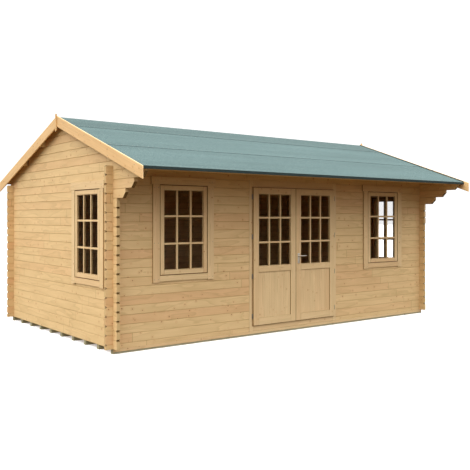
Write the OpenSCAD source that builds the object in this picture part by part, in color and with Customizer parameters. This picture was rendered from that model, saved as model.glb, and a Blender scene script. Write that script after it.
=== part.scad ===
// Log cabin with a front canopy, a double door and four tall windows.
// X runs along the ridge, the door side faces -Y, and z = 0 is the underside
// of the ground bearers.  The ridge lies over the middle of the roof, at y = 0.

/* [Cabin] */
// Length over the outer faces of the two gable walls
cabin_l = 5930; // [4800:10:7200]
// Width over the outer faces of the front and back walls
cabin_w = 3480; // [2900:10:4200]
// Distance from the ridge line forward to the outer face of the front wall
front_reach = 1470; // [1200:10:1800]

/* [Logs] */
// Height of one log
log_h = 114; // [95:1:137]
// Thickness of a log
log_t = 44; // [28:1:70]
// How far the log ends stand out past the corner
log_end = 96; // [70:1:130]
// Depth of the groove along a joint between two logs
groove = 5; // [2:0.5:8]
// Depth of the bevel on a log end
end_bevel = 18; // [8:1:24]
// Half height of the bevel on a log end
end_bevel_h = 13; // [6:1:20]
// Courses of the front and back walls with ends past the corner
front_courses = 19; // [17:1:19]
back_courses = 18; // [16:1:18]
// Plain courses of a gable wall under the first stepped log
plain_courses = 16; // [14:1:17]

/* [Stepped logs under the canopy] */
// Forward reach of the three stepped logs, from the front wall
step_reach = [311, 521, 765];
// Bevel under the end of a stepped log
step_bevel = 70; // [40:1:90]

/* [Bearers and floor] */
// Number of bearers
bearer_n = 10; // [6:1:14]
// Width of a bearer
bearer_w = 60; // [40:1:80]
// Height of a bearer
bearer_h = 60; // [38:1:90]
// Thickness of the floor boards
floor_t = 19; // [16:1:28]

/* [Roof] */
// Pitch of the roof in degrees
pitch = 19.3; // [17:0.1:20]
// Height of the bargeboards' top edge at the ridge, over the top course of the front wall
ridge_up = 767; // [720:1:820]
// Horizontal reach of the bargeboards from the ridge
barge_run = 2351; // [2300:1:2600]
// Horizontal reach of the roof boards from the ridge
eave_run = 2261; // [2240:1:2290]
// Overhang of the bargeboards past the gable walls
gable_over = 100; // [97:1:160]
// Depth of a bargeboard, square to its edge
barge_d = 141; // [120:1:180]
// Thickness of a bargeboard
barge_t = 18; // [15:1:28]
// Height of the bargeboard edge over the felt
barge_lip = 18; // [10:1:50]
// Thickness of the roof boards
deck_t = 19; // [15:1:28]
// Thickness of one layer of felt
felt_t = 3; // [2:0.5:5]
// Felt folded down over the eave
felt_drip = 34; // [22:1:60]
// Slope distance from the ridge down to the lower edge of the ridge felt
ridge_felt = 520; // [300:10:700]
// Slope distance from the ridge down to the second felt lap
second_lap = 1480; // [1200:10:1700]
// Width of a purlin
purlin_w = 58; // [40:1:80]
// Depth of a purlin under the roof boards
purlin_d = 90; // [70:1:140]
// Spacing of the purlins either side of the ridge
purlin_step = 670; // [600:5:700]

/* [Gable finial] */
// Width of the pointed board over the meeting of two bargeboards
finial_w = 34; // [24:1:80]
// Height of that board
finial_h = 250; // [200:1:320]
// Its thickness
finial_t = 16; // [10:1:25]
// How far its tip stands over the ridge
finial_up = 28; // [0:1:60]

/* [Windows] */
// Width of a window opening in the wall
win_w = 740; // [600:5:840]
// Height of a window opening in the wall
win_h = 1160; // [900:5:1200]
// Courses of logs under a window
win_course = 7; // [5:1:7]
// Distance of a front window from the middle of the front
win_x = 1948; // [1850:1:2050]
// Distance of a gable window behind the front wall's outer face
win_back = 700; // [560:5:1100]
// Thickness of the lining round the opening
lining_t = 10; // [8:1:16]
// Width of the boards round a window
casing_w = 100; // [70:1:110]
// Thickness of these boards
casing_t = 18; // [12:1:25]
// Height of the board under the sash
apron_h = 74; // [50:1:90]
// How far the head board runs past the side boards
casing_ear = 25; // [0:1:40]
// Thickness of the head board
head_t = 21; // [12:1:28]
// How far the side boards run down below the opening
side_drop = 85; // [60:1:110]
// Width of the wooden bars of a sash
sash_bar = 56; // [45:1:80]
// Thickness of a sash
sash_t = 35; // [28:1:38]
// Thickness of the glass
glass_t = 4; // [3:1:8]

/* [Double door] */
// Width of one leaf
leaf_w = 797; // [700:1:900]
// Height of a leaf
leaf_h = 1936; // [1800:1:1960]
// Height of the leaf's lower edge over the bearers
leaf_up = 79; // [60:1:100]
// Thickness of the leaf's outer lip
lip_t = 18; // [14:1:24]
// Thickness of the leaf behind its lip
inset_t = 26; // [18:1:30]
// How far the lip covers the frame
lip_over = 15; // [10:1:22]
// Running gap between a leaf and the frame
run_gap = 5; // [5:0.5:8]
// Gap between the two leaves
meet_gap = 7; // [7:0.5:12]
// Visible width of a frame post beside the leaf
post_w = 60; // [40:1:90]
// Visible height of the frame head over the leaf
head_h = 100; // [60:1:115]
// How far the frame stands out from the wall
frame_out = 4; // [2:1:12]
// Width of a leaf's upright bars
stile_w = 98; // [90:1:130]
// Height of a leaf's top bar
top_rail = 88; // [80:1:130]
// Height of a leaf's middle bar
mid_rail = 82; // [75:1:120]
// Height of a leaf's bottom bar
low_rail = 101; // [90:1:140]
// Height of the boarded panel
panel_h = 645; // [500:1:700]
// Thickness of the boarded panel
panel_t = 16; // [12:1:20]

/* [Hinges and handle] */
// Hinges on one leaf
hinge_n = 4; // [3:1:5]
// Distance of the end hinges from the leaf's ends
hinge_edge = 131; // [100:1:200]
// Radius of a hinge barrel
barrel_r = 8; // [6:0.5:10]
// Height of a hinge barrel
barrel_h = 62; // [50:1:80]
// Radius of a hinge pin
pin_r = 4; // [3:0.5:5]
// Distance of the hinge axis from the leaf's edge
hinge_side = 10; // [9:0.5:14]
// Width of the handle plate
plate_w = 38; // [30:1:45]
// Height of the handle plate
plate_h = 150; // [120:1:230]
// Thickness of the handle plate
plate_t = 7; // [5:1:10]
// Height of the lever over the leaf's lower edge
lever_up = 952; // [850:1:1050]
// Length of the lever
lever_l = 114; // [100:1:150]
// Radius of the lever's round bar
lever_r = 9; // [7:0.5:11]
// How far the lever stands off the plate
lever_out = 46; // [36:1:60]

/* [Hidden] */
$fn = 48;
cut = 1;                                  // how far a cutter runs past a face
fit = 0.5;                                // gap round a sash and between hinge halves
turn_fit = 0.1;                           // clearance of a pin or spindle in its bore
barrel_off = 1;                           // hinge barrel clear of the frame's face
felt_gap = 0.1;                           // film of glue between two layers of felt

// Walls
x_out = cabin_l / 2;
x_in = x_out - log_t;
y_front = -front_reach;
y_back = cabin_w - front_reach;
z_log = bearer_h;                         // underside of the lowest logs
half_log = log_h / 2;
quarter_log = log_h / 4;
front_end_z = half_log + front_courses * log_h;
back_end_z = half_log + back_courses * log_h;

// Roof planes: height at the ridge, each falling by slope for each unit of y
slope = tan(pitch);
across = 1 / cos(pitch);                  // vertical measure of a square thickness
ridge_z = z_log + front_end_z + ridge_up;
felt_z = ridge_z - barge_lip;
deck_top_z = felt_z - 2 * felt_t * across;
deck_low_z = deck_top_z - deck_t * across;
x_barge = x_out + gable_over;
x_deck = x_barge - barge_t;
purlin_low_z = deck_low_z - purlin_d;
tip_z = ridge_z + finial_up;
purlin_front = [-purlin_step, -2 * purlin_step, -3 * purlin_step];
purlin_back = [purlin_step, 2 * purlin_step];

// Windows
win_z = z_log + half_log + win_course * log_h;
gable_win_z = z_log + win_course * log_h;
gable_win_y = y_front + win_back;
sash_w = win_w - 2 * lining_t;
sash_h = win_h - 2 * lining_t;
sash_out = 14;                            // sash face in front of the wall face
lining_lap = lining_t / 2;                // how far the boards cover the lining
pane_w = sash_w - 2 * sash_bar;
pane_h = sash_h - 2 * sash_bar;

// Door
leaf_z = z_log + leaf_up;
leaf_edge = meet_gap / 2 + leaf_w;        // hinge edge of a leaf from the middle
frame_x = leaf_edge + post_w;
frame_top = leaf_z + leaf_h + head_h;
clear_x = leaf_edge - lip_over;
clear_low = leaf_z + lip_over;
clear_top = leaf_z + leaf_h - lip_over;
y_frame = y_front - frame_out;
y_lip = y_frame - run_gap - lip_t;        // outer face of a closed leaf
y_inset = y_frame - run_gap;              // back of the lip
y_inner = y_inset + inset_t;              // inner face of a closed leaf
leaf_t = lip_t + inset_t;
hinge_x = leaf_edge + hinge_side;
hinge_y = y_frame - barrel_r - barrel_off;
panel_z = leaf_z + low_rail;
glass_z = panel_z + panel_h + mid_rail;
glass_h = leaf_h - low_rail - panel_h - mid_rail - top_rail;
light_w = leaf_w - 2 * stile_w;
hinge_zs = [for (i = [0 : hinge_n - 1])
    leaf_z + hinge_edge + i * (leaf_h - 2 * hinge_edge) / (hinge_n - 1)];
lever_x = meet_gap / 2 + stile_w / 2;
lever_z = leaf_z + lever_up;

// A box from its lowest corner to its highest one
module span(low, high) {
    translate(low) cube(high - low);
}

// One edge of a log stack: joints at every log, each with a notch
function notched(x, side, depth, half, z0, z1, first) = [
    for (z = [first : log_h : z1]) if (z - half > z0 && z + half < z1)
        each [[x, z - half], [x - side * depth, z], [x, z + half]]];
function reversed(list) = [for (i = [len(list) - 1 : -1 : 0]) list[i]];

// Cross section of a stack of logs: y through the wall, z up, grooved both sides
module log_section(y0, z0, z1, first) {
    right = notched(y0 + log_t, 1, groove, groove, z0, z1, first);
    left = notched(y0, -1, groove, groove, z0, z1, first);
    polygon(concat([[y0, z0], [y0 + log_t, z0]], right,
        [[y0 + log_t, z1], [y0, z1]], reversed(left)));
}

// Extrusion of an outline drawn in x, z, from y0 to y1
module through_y(y0, y1) {
    translate([0, y1, 0]) rotate([90, 0, 0]) linear_extrude(y1 - y0) children();
}

// Extrusion of an outline drawn in y, z, from x0 to x1
module through_x(x0, x1) {
    translate([x0, 0, 0]) rotate([90, 0, 90]) linear_extrude(x1 - x0) children();
}

// Everything under the roof boards, as an outline in y, z
module under_roof() {
    low = -cut;
    reach = barge_run + 2 * cut;
    polygon([[-reach, low], [reach, low], [reach, deck_low_z - reach * slope],
        [0, deck_low_z], [-reach, deck_low_z - reach * slope]]);
}

// Necks that the gable logs pass through a front or back wall at each corner
module gable_necks(y0, top) {
    for (sx = [-1, 1], z = [quarter_log : log_h : top])
        span([min(sx * x_in, sx * x_out), y0, z_log + z],
            [max(sx * x_in, sx * x_out), y0 + log_t, z_log + z + half_log]);
}

// Necks that the front or back logs pass through the gable walls
module long_necks(y0, top) {
    for (sx = [-1, 1]) {
        x0 = min(sx * x_in, sx * x_out);
        x1 = max(sx * x_in, sx * x_out);
        span([x0, y0, z_log - cut], [x1, y0 + log_t, z_log + quarter_log]);
        for (z = [half_log + quarter_log : log_h : top - half_log])
            span([x0, y0, z_log + z], [x1, y0 + log_t, z_log + z + half_log]);
    }
}

// A long wall from end to end: end_z is where its log ends stop past the corner
module long_wall(y0, end_z) {
    top = deck_low_z;
    ends = z_log + end_z;
    x_end = x_out + log_end;
    first = z_log + half_log;
    right = notched(x_end, 1, end_bevel, end_bevel_h, z_log, ends, first);
    left = notched(-x_end, -1, end_bevel, end_bevel_h, z_log, ends, first);
    difference() {
        intersection() {
            through_y(y0, y0 + log_t) polygon(concat(
                [[-x_end, z_log], [x_end, z_log]], right,
                [[x_end, ends - end_bevel_h], [x_end - end_bevel, ends], [x_in, ends],
                    [x_in, top], [-x_in, top], [-x_in, ends],
                    [-x_end + end_bevel, ends], [-x_end, ends - end_bevel_h]],
                reversed(left)));
            through_x(-x_end, x_end) intersection() {
                log_section(y0, z_log, top, first);
                under_roof();
            }
        }
        gable_necks(y0, end_z);
    }
}

module front_wall_whole() {
    difference() {
        long_wall(y_front, front_end_z);
        for (sx = [-1, 1]) translate([sx * win_x, y_front, win_z]) window_hole();
    }
}

// Outline of a gable wall in y, z
module gable_outline() {
    y0 = y_front - log_end;
    y1 = y_back + log_end;
    corbel_z = z_log + plain_courses * log_h;
    first = z_log + log_h;
    reach = [for (r = step_reach) y_front - r];
    front = notched(y0, -1, end_bevel, end_bevel_h, z_log, corbel_z + cut, first);
    back_top = deck_low_z - y1 * slope;
    back = notched(y1, 1, end_bevel, end_bevel_h, z_log, back_top, first);
    steps = [for (i = [0 : 2]) each [
        [reach[i] + step_bevel, corbel_z + i * log_h],
        [reach[i], corbel_z + i * log_h + step_bevel],
        [reach[i], corbel_z + (i + 1) * log_h]]];
    polygon(concat([[y0, z_log], [y1, z_log]], back,
        [[y1, back_top + cut], [0, deck_low_z + cut], [reach[2], corbel_z + 3 * log_h]],
        reversed(steps), [[y0, corbel_z]], reversed(front)));
}

// A gable wall; side is -1 on the left and 1 on the right
module gable_wall(side) {
    x0 = side < 0 ? -x_out : x_in;
    difference() {
        intersection() {
            through_x(x0, x0 + log_t) intersection() {
                gable_outline();
                under_roof();
            }
            translate([0, -barge_run, 0]) through_y(0, 2 * barge_run)
                log_section(x0, z_log, ridge_z, z_log + log_h);
        }
        long_necks(y_front, front_end_z);
        long_necks(y_back - log_t, back_end_z);
        translate([side * x_out, gable_win_y, gable_win_z])
            rotate([0, 0, side * 90]) window_hole();
        purlin_notches();
    }
}

// A window, drawn looking out along -y with the wall's outer face at y = 0
module window_hole() {
    span([-win_w / 2, -cut, 0], [win_w / 2, log_t + cut, win_h]);
}

module window_frame() {
    w = win_w / 2;
    difference() {
        span([-w, 0, 0], [w, log_t, win_h]);
        span([-sash_w / 2, -cut, lining_t], [sash_w / 2, log_t + cut, lining_t + sash_h]);
    }
    board = w - lining_lap;
    for (side = [-1, 1])
        mirror_span(side, [board, -casing_t, -side_drop], [w + casing_w, 0, win_h]);
    span([-board, -casing_t, lining_lap - apron_h], [board, 0, lining_lap]);
    ear = w + casing_w + casing_ear;
    span([-ear, -head_t, win_h - lining_lap], [ear, 0, win_h + casing_w]);
}

module window_sash() {
    edge = sash_w / 2 - fit;
    difference() {
        span([-edge, -sash_out, lining_t + fit],
            [edge, sash_t - sash_out, lining_t + sash_h - fit]);
        span([-pane_w / 2, -sash_out - cut, lining_t + sash_bar],
            [pane_w / 2, log_t + cut, lining_t + sash_bar + pane_h]);
    }
}

module window_glass() {
    y0 = (sash_t - glass_t) / 2 - sash_out;
    span([-pane_w / 2, y0, lining_t + sash_bar],
        [pane_w / 2, y0 + glass_t, lining_t + sash_bar + pane_h]);
}

module at_front_window(side) {
    translate([side * win_x, y_front, win_z]) children();
}

module at_gable_window(side) {
    translate([side * x_out, gable_win_y, gable_win_z]) rotate([0, 0, side * 90]) children();
}

// A sloping roof layer in y, z from s0 to s1 along y, mirrored for the front by side
module slope_layer(side, y0, y1, z_high, z_low) {
    polygon([[side * y0, z_low - y0 * slope], [side * y1, z_low - y1 * slope],
        [side * y1, z_high - y1 * slope], [side * y0, z_high - y0 * slope]]);
}

module roof_boards(side) {
    through_x(-x_deck, x_deck) slope_layer(side, 0, eave_run, deck_top_z, deck_low_z);
}

// Felt of one slope: a single layer low down, a double one over the lap, folded at the eave
module felt_slope(side) {
    lap = second_lap * cos(pitch);
    one = deck_top_z + felt_t * across;
    fold = eave_run + felt_t;
    through_x(-x_deck, x_deck) polygon([[0, deck_top_z],
        [side * eave_run, deck_top_z - eave_run * slope],
        [side * eave_run, deck_top_z - eave_run * slope - felt_drip],
        [side * fold, deck_top_z - eave_run * slope - felt_drip],
        [side * fold, one - fold * slope], [side * lap, one - lap * slope],
        [side * lap, felt_z - lap * slope], [0, felt_z]]);
}

module ridge_strip() {
    run = ridge_felt * cos(pitch);
    low = felt_z + felt_gap;
    high = low + felt_t * across;
    through_x(-x_deck, x_deck) polygon([[0, low], [-run, low - run * slope],
        [-run, high - run * slope], [0, high], [run, high - run * slope],
        [run, low - run * slope]]);
}

// A purlin under the roof boards at distance y from the ridge
module purlin(y) {
    w = purlin_w / 2;
    through_x(-x_deck, x_deck) intersection() {
        translate([y - w, purlin_low_z - abs(y) * slope]) square([purlin_w, 2 * purlin_d]);
        under_roof();
    }
}

module purlin_notches() {
    w = purlin_w / 2;
    for (y = concat([0], purlin_front, purlin_back)) {
        low = purlin_low_z - abs(y) * slope;
        span([-x_deck, y - w, low], [x_deck, y + w, low + 2 * purlin_d]);
    }
}

module bargeboard(sx, sy) {
    x0 = sx < 0 ? -x_barge : x_deck;
    through_x(x0, x0 + barge_t)
        slope_layer(sy, 0, barge_run, ridge_z, ridge_z - barge_d * across);
}

module finial(side) {
    x0 = side < 0 ? -x_barge - finial_t : x_barge;
    w = finial_w / 2;
    through_x(x0, x0 + finial_t) polygon([[0, tip_z - finial_h], [w, tip_z - finial_h + w],
        [w, tip_z - w], [0, tip_z], [-w, tip_z - w], [-w, tip_z - finial_h + w]]);
}

// A closed leaf; side is -1 on the left and 1 on the right
module door_leaf(side) {
    near = meet_gap / 2;
    light = near + stile_w;
    difference() {
        union() {
            mirror_span(side, [near, y_lip, leaf_z], [leaf_edge, y_inset, leaf_z + leaf_h]);
            mirror_span(side, [near, y_inset, clear_low + run_gap],
                [clear_x - run_gap, y_inner, clear_top - run_gap]);
        }
        mirror_span(side, [light, y_lip - cut, glass_z],
            [light + light_w, y_inner + cut, glass_z + glass_h]);
        mirror_span(side, [light, y_lip - cut, panel_z],
            [light + light_w, y_inner + cut, panel_z + panel_h]);
        if (side > 0) translate([lever_x, y_lip - cut, lever_z]) rotate([-90, 0, 0])
            cylinder(h = leaf_t + 2 * cut, r = lever_r + turn_fit);
    }
}

module mirror_span(side, low, high) {
    mirror([side < 0 ? 1 : 0, 0, 0]) span(low, high);
}

module door_panel(side) {
    light = meet_gap / 2 + stile_w;
    y0 = y_lip + leaf_t / 2 - panel_t / 2;
    mirror_span(side, [light, y0, panel_z], [light + light_w, y0 + panel_t, panel_z + panel_h]);
}

module door_glass(side) {
    light = meet_gap / 2 + stile_w;
    y0 = y_lip + leaf_t / 2 - glass_t / 2;
    mirror_span(side, [light, y0, glass_z], [light + light_w, y0 + glass_t, glass_z + glass_h]);
}

// Upper half of each hinge: a bored barrel with a stud into the leaf's edge
module knuckles(side) {
    for (z = hinge_zs) {
        difference() {
            union() {
                translate([side * hinge_x, hinge_y, z + fit]) cylinder(h = barrel_h / 2, r = barrel_r);
                translate([side * hinge_x, hinge_y, z + fit + barrel_h / 4])
                    rotate([0, -side * 90, 0]) cylinder(h = hinge_side, r = pin_r);
            }
            translate([side * hinge_x, hinge_y, z])
                cylinder(h = barrel_h, r = pin_r + turn_fit);
        }
    }
}

// Lower half of each hinge: a barrel with its pin, and a stud into the frame
module hinge_pins(side) {
    for (z = hinge_zs) {
        translate([side * hinge_x, hinge_y, z - barrel_h / 2]) {
            cylinder(h = barrel_h / 2, r = barrel_r);
            cylinder(h = barrel_h - fit, r = pin_r);
            translate([0, 0, barrel_h / 4]) rotate([-90, 0, 0])
                cylinder(h = y_frame - hinge_y, r = pin_r);
        }
    }
}

module floor_bearers() {
    color("#8d8f74") for (i = [0 : bearer_n - 1]) {
        y0 = y_front + i * (cabin_w - bearer_w) / (bearer_n - 1);
        span([-x_out, y0, 0], [x_out, y0 + bearer_w, bearer_h]);
    }
}

module floor_boards() {
    color("#c9a66f") span([-x_in, y_front + log_t, z_log],
        [x_in, y_back - log_t, z_log + floor_t]);
}

module front_wall_left() {
    color("#cdab78") intersection() {
        front_wall_whole();
        span([-x_barge, y_front, 0], [-frame_x, y_front + log_t, ridge_z]);
    }
}

module front_wall_right() {
    color("#cdab78") intersection() {
        front_wall_whole();
        span([frame_x, y_front, 0], [x_barge, y_front + log_t, ridge_z]);
    }
}

module front_wall_over_door() {
    color("#b8935f") intersection() {
        front_wall_whole();
        span([-frame_x, y_front, frame_top], [frame_x, y_front + log_t, ridge_z]);
    }
}

module back_wall() {
    color("#d9b985") long_wall(y_back - log_t, back_end_z);
}

module left_gable_wall() {
    color("#ecca92") gable_wall(-1);
}

module right_gable_wall() {
    color("#ecca92") gable_wall(1);
}

module ridge_purlin() {
    color("#a9824f") purlin(0);
}

module front_purlins() {
    color("#a9824f") for (y = purlin_front) purlin(y);
}

module back_purlins() {
    color("#a9824f") for (y = purlin_back) purlin(y);
}

module front_roof_boards() {
    color("#8a6238") roof_boards(-1);
}

module back_roof_boards() {
    color("#8a6238") roof_boards(1);
}

module front_felt() {
    color("#8fadab") felt_slope(-1);
}

module back_felt() {
    color("#8fadab") felt_slope(1);
}

module ridge_felt_strip() {
    color("#84a5a4") ridge_strip();
}

module left_front_bargeboard() {
    color("#e9c488") bargeboard(-1, -1);
}

module left_back_bargeboard() {
    color("#e9c488") bargeboard(-1, 1);
}

module right_front_bargeboard() {
    color("#e9c488") bargeboard(1, -1);
}

module right_back_bargeboard() {
    color("#e9c488") bargeboard(1, 1);
}

module gable_finials() {
    color("#e9c488") for (side = [-1, 1]) finial(side);
}

module front_left_window_frame() {
    color("#c4a474") at_front_window(-1) window_frame();
}

module front_left_window_sash() {
    color("#cba674") at_front_window(-1) window_sash();
}

module front_left_window_glass() {
    color("#2a1a10") at_front_window(-1) window_glass();
}

module front_right_window_frame() {
    color("#c4a474") at_front_window(1) window_frame();
}

module front_right_window_sash() {
    color("#cba674") at_front_window(1) window_sash();
}

module front_right_window_glass() {
    color("#2a1a10") at_front_window(1) window_glass();
}

module left_gable_window_frame() {
    color("#e0be88") at_gable_window(-1) window_frame();
}

module left_gable_window_sash() {
    color("#e6c48e") at_gable_window(-1) window_sash();
}

module left_gable_window_glass() {
    color("#2a1a10") at_gable_window(-1) window_glass();
}

module right_gable_window_frame() {
    color("#e0be88") at_gable_window(1) window_frame();
}

module right_gable_window_sash() {
    color("#e6c48e") at_gable_window(1) window_sash();
}

module right_gable_window_glass() {
    color("#2a1a10") at_gable_window(1) window_glass();
}

module door_frame() {
    color("#c4a474") difference() {
        span([-frame_x, y_frame, z_log], [frame_x, y_front + log_t, frame_top]);
        span([-clear_x, y_frame - cut, clear_low], [clear_x, y_front + log_t + cut, clear_top]);
    }
}

module frame_hinge_pins() {
    color("#8f9294") for (side = [-1, 1]) hinge_pins(side);
}

module left_door() {
    color("#cba674") door_leaf(-1);
}

module left_door_panel() {
    color("#d0ac7a") door_panel(-1);
}

module left_door_glass() {
    color("#2a1a10") door_glass(-1);
}

module left_door_knuckles() {
    color("#8f9294") knuckles(-1);
}

module right_door() {
    color("#cba674") door_leaf(1);
}

module right_door_panel() {
    color("#d0ac7a") door_panel(1);
}

module right_door_glass() {
    color("#2a1a10") door_glass(1);
}

module right_door_knuckles() {
    color("#8f9294") knuckles(1);
}

// A plate on each face of the right leaf, bored for the lever's spindle
module handle_plates() {
    color("#b9bcbe") for (y0 = [y_lip - plate_t, y_inner]) difference() {
        span([lever_x - plate_w / 2, y0, lever_z - plate_h + plate_w],
            [lever_x + plate_w / 2, y0 + plate_t, lever_z + plate_w]);
        translate([lever_x, y0 - cut, lever_z]) rotate([-90, 0, 0])
            cylinder(h = plate_t + 2 * cut, r = lever_r + turn_fit);
    }
}

// The lever on both faces, on one spindle
module lever_handle() {
    y0 = y_lip - plate_t - lever_out;
    y1 = y_inner + plate_t + lever_out;
    color("#c2c5c7") {
        translate([lever_x, y0 - lever_r, lever_z]) rotate([-90, 0, 0])
            cylinder(h = y1 - y0 + 2 * lever_r, r = lever_r);
        for (y = [y0, y1]) translate([lever_x, y, lever_z]) rotate([0, 90, 0])
            cylinder(h = lever_l, r = lever_r);
    }
}

floor_bearers();
floor_boards();
front_wall_left();
front_wall_right();
front_wall_over_door();
back_wall();
left_gable_wall();
right_gable_wall();
ridge_purlin();
front_purlins();
back_purlins();
front_roof_boards();
back_roof_boards();
front_felt();
back_felt();
ridge_felt_strip();
left_front_bargeboard();
left_back_bargeboard();
right_front_bargeboard();
right_back_bargeboard();
gable_finials();
front_left_window_frame();
front_left_window_sash();
front_left_window_glass();
front_right_window_frame();
front_right_window_sash();
front_right_window_glass();
left_gable_window_frame();
left_gable_window_sash();
left_gable_window_glass();
right_gable_window_frame();
right_gable_window_sash();
right_gable_window_glass();
door_frame();
frame_hinge_pins();
left_door();
left_door_panel();
left_door_glass();
left_door_knuckles();
right_door();
right_door_panel();
right_door_glass();
right_door_knuckles();
handle_plates();
lever_handle();
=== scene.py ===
"""The log cabin's looks: woods, felt, glass and fittings, with the boards, bars and nails of its joinery.

Everything is in metres.  X runs along the ridge, the door side faces -Y, and z = 0 is under the bearers.
"""

import math
import random

import bpy
from mathutils import Matrix, Vector


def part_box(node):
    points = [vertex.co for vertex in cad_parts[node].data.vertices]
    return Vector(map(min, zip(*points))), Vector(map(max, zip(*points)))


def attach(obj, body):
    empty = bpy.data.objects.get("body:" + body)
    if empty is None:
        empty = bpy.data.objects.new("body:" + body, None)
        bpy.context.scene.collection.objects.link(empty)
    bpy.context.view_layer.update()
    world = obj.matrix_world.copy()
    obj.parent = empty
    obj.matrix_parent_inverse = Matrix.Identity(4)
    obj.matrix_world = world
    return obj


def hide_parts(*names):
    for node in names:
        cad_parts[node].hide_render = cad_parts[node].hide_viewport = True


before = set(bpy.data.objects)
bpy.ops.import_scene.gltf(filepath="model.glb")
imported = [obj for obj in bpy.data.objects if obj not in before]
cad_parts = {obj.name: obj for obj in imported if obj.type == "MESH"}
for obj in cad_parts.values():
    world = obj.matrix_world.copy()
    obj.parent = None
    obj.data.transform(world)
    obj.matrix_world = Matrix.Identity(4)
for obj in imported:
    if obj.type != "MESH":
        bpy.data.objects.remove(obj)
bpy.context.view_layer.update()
random.seed(11)

# Sizes of the timber, as the frame has them
LOG = 0.114                               # height of one log
LENGTH = 2.7                              # logs of a course are joined end to end at this spacing
SLOPE = math.tan(math.radians(19.3))      # fall of the roof for each metre out from the ridge
CASING = 0.100                            # boards round a window
CASING_EAR = 0.025                        # head board past the side boards
CASING_DROP = 0.085                       # side boards below the opening
CASING_T = 0.018
CASING_LAP = 0.001                        # casing boards reach this far over the lining
LINING = 0.010                            # boards lining a window opening
APRON = 0.074                             # board under a sash
GLAZING_BAR = 0.027                       # bars of windows and doors
LIP = 0.018                               # outer layer of a door leaf
REBATE = 0.020                            # how far the inner layer stays back from the leaf's edge
FRAME_LAP = 0.015                         # how far a leaf covers its frame
EASE = 0.002                              # planed boards have their edges broken by this much
BOLD_EASE = 0.003                         # the same on sashes, window heads and roof boards
BAR_BACK = 0.004                          # glazing bars stay this far behind the face of a sash or leaf

# Places that several pieces share
FRONT_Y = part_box("front_wall_left")[0].y
GABLE_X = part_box("floor_bearers")[1].x
LOG_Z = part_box("back_wall")[0].z


# ---------------------------------------------------------------- materials

def paint(hex_colour):
    """A colour given as sRGB hex, in the linear values that a shader takes."""
    parts = [int(hex_colour[i:i + 2], 16) / 255 for i in (1, 3, 5)]
    return [c / 12.92 if c <= 0.04045 else ((c + 0.055) / 1.055) ** 2.4 for c in parts] + [1.0]


def put(tree, kind, sockets=None, **settings):
    """Adds one node. sockets maps an input to a value, or to another node's output to link."""
    made = tree.nodes.new("ShaderNode" + kind)
    for key, value in settings.items():
        setattr(made, key, value)
    for key, value in (sockets or {}).items():
        if isinstance(value, bpy.types.NodeSocket):
            tree.links.new(value, made.inputs[key])
        else:
            made.inputs[key].default_value = value
    return made


def blank(name):
    """A new material with an empty node tree."""
    made = bpy.data.materials.new(name)
    made.use_nodes = True
    made.node_tree.nodes.clear()
    return made, made.node_tree


MIX_A, MIX_B, MIX_OUT = 6, 7, 2           # colour sockets of a Mix node


def along_logs(axes, first, step, seed):
    """Grain of logs, purlins and bearers in the frame. axes says which way they run, are stacked and are
    thick, first and step where the courses lie. A course is made up of lengths that differ in tone."""
    course_shift = 13.7                   # each course is cut from another stretch of wood

    def source(tree):
        place = put(tree, "TexCoord")
        split = put(tree, "SeparateXYZ", {0: place.outputs["Object"]})
        run, stack, deep = [split.outputs[a] for a in axes]
        height = put(tree, "Math", {0: stack, 1: first}, operation="SUBTRACT").outputs[0]
        count = put(tree, "Math", {0: height, 1: step}, operation="DIVIDE").outputs[0]
        index = put(tree, "Math", {0: count}, operation="FLOOR").outputs[0]
        share = put(tree, "Math", {0: count}, operation="FRACT").outputs[0]
        across = put(tree, "Math", {0: share, 1: step, 2: -step / 2}, operation="MULTIPLY_ADD").outputs[0]
        moved = put(tree, "Math", {0: index, 1: course_shift, 2: run}, operation="MULTIPLY_ADD").outputs[0]
        piece = put(tree, "Math", {0: moved, 1: LENGTH}, operation="DIVIDE").outputs[0]
        piece = put(tree, "Math", {0: piece}, operation="FLOOR").outputs[0]
        pick = put(tree, "Math", {0: piece, 1: 0.37, 2: index}, operation="MULTIPLY_ADD").outputs[0]
        pick = put(tree, "Math", {0: pick, 1: seed}, operation="ADD").outputs[0]
        tone = put(tree, "TexWhiteNoise", {"W": pick}, noise_dimensions="1D").outputs["Value"]
        grain = put(tree, "CombineXYZ", {0: moved, 1: across, 2: deep}).outputs[0]
        facing = put(tree, "SeparateXYZ", {0: place.outputs["Normal"]}).outputs[axes[0]]
        ends = put(tree, "Math", {0: facing}, operation="ABSOLUTE").outputs[0]
        return grain, tone, ends
    return source


def along_boards(tree):
    """Grain of a board, from the measures that lay_grain left on it. Its narrow faces count as ends."""
    grain = put(tree, "Attribute", attribute_name="grain").outputs["Vector"]
    tone = put(tree, "Attribute", attribute_name="tone").outputs["Fac"]
    rim = put(tree, "Attribute", attribute_name="rim").outputs["Fac"]
    return grain, tone, rim


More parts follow.
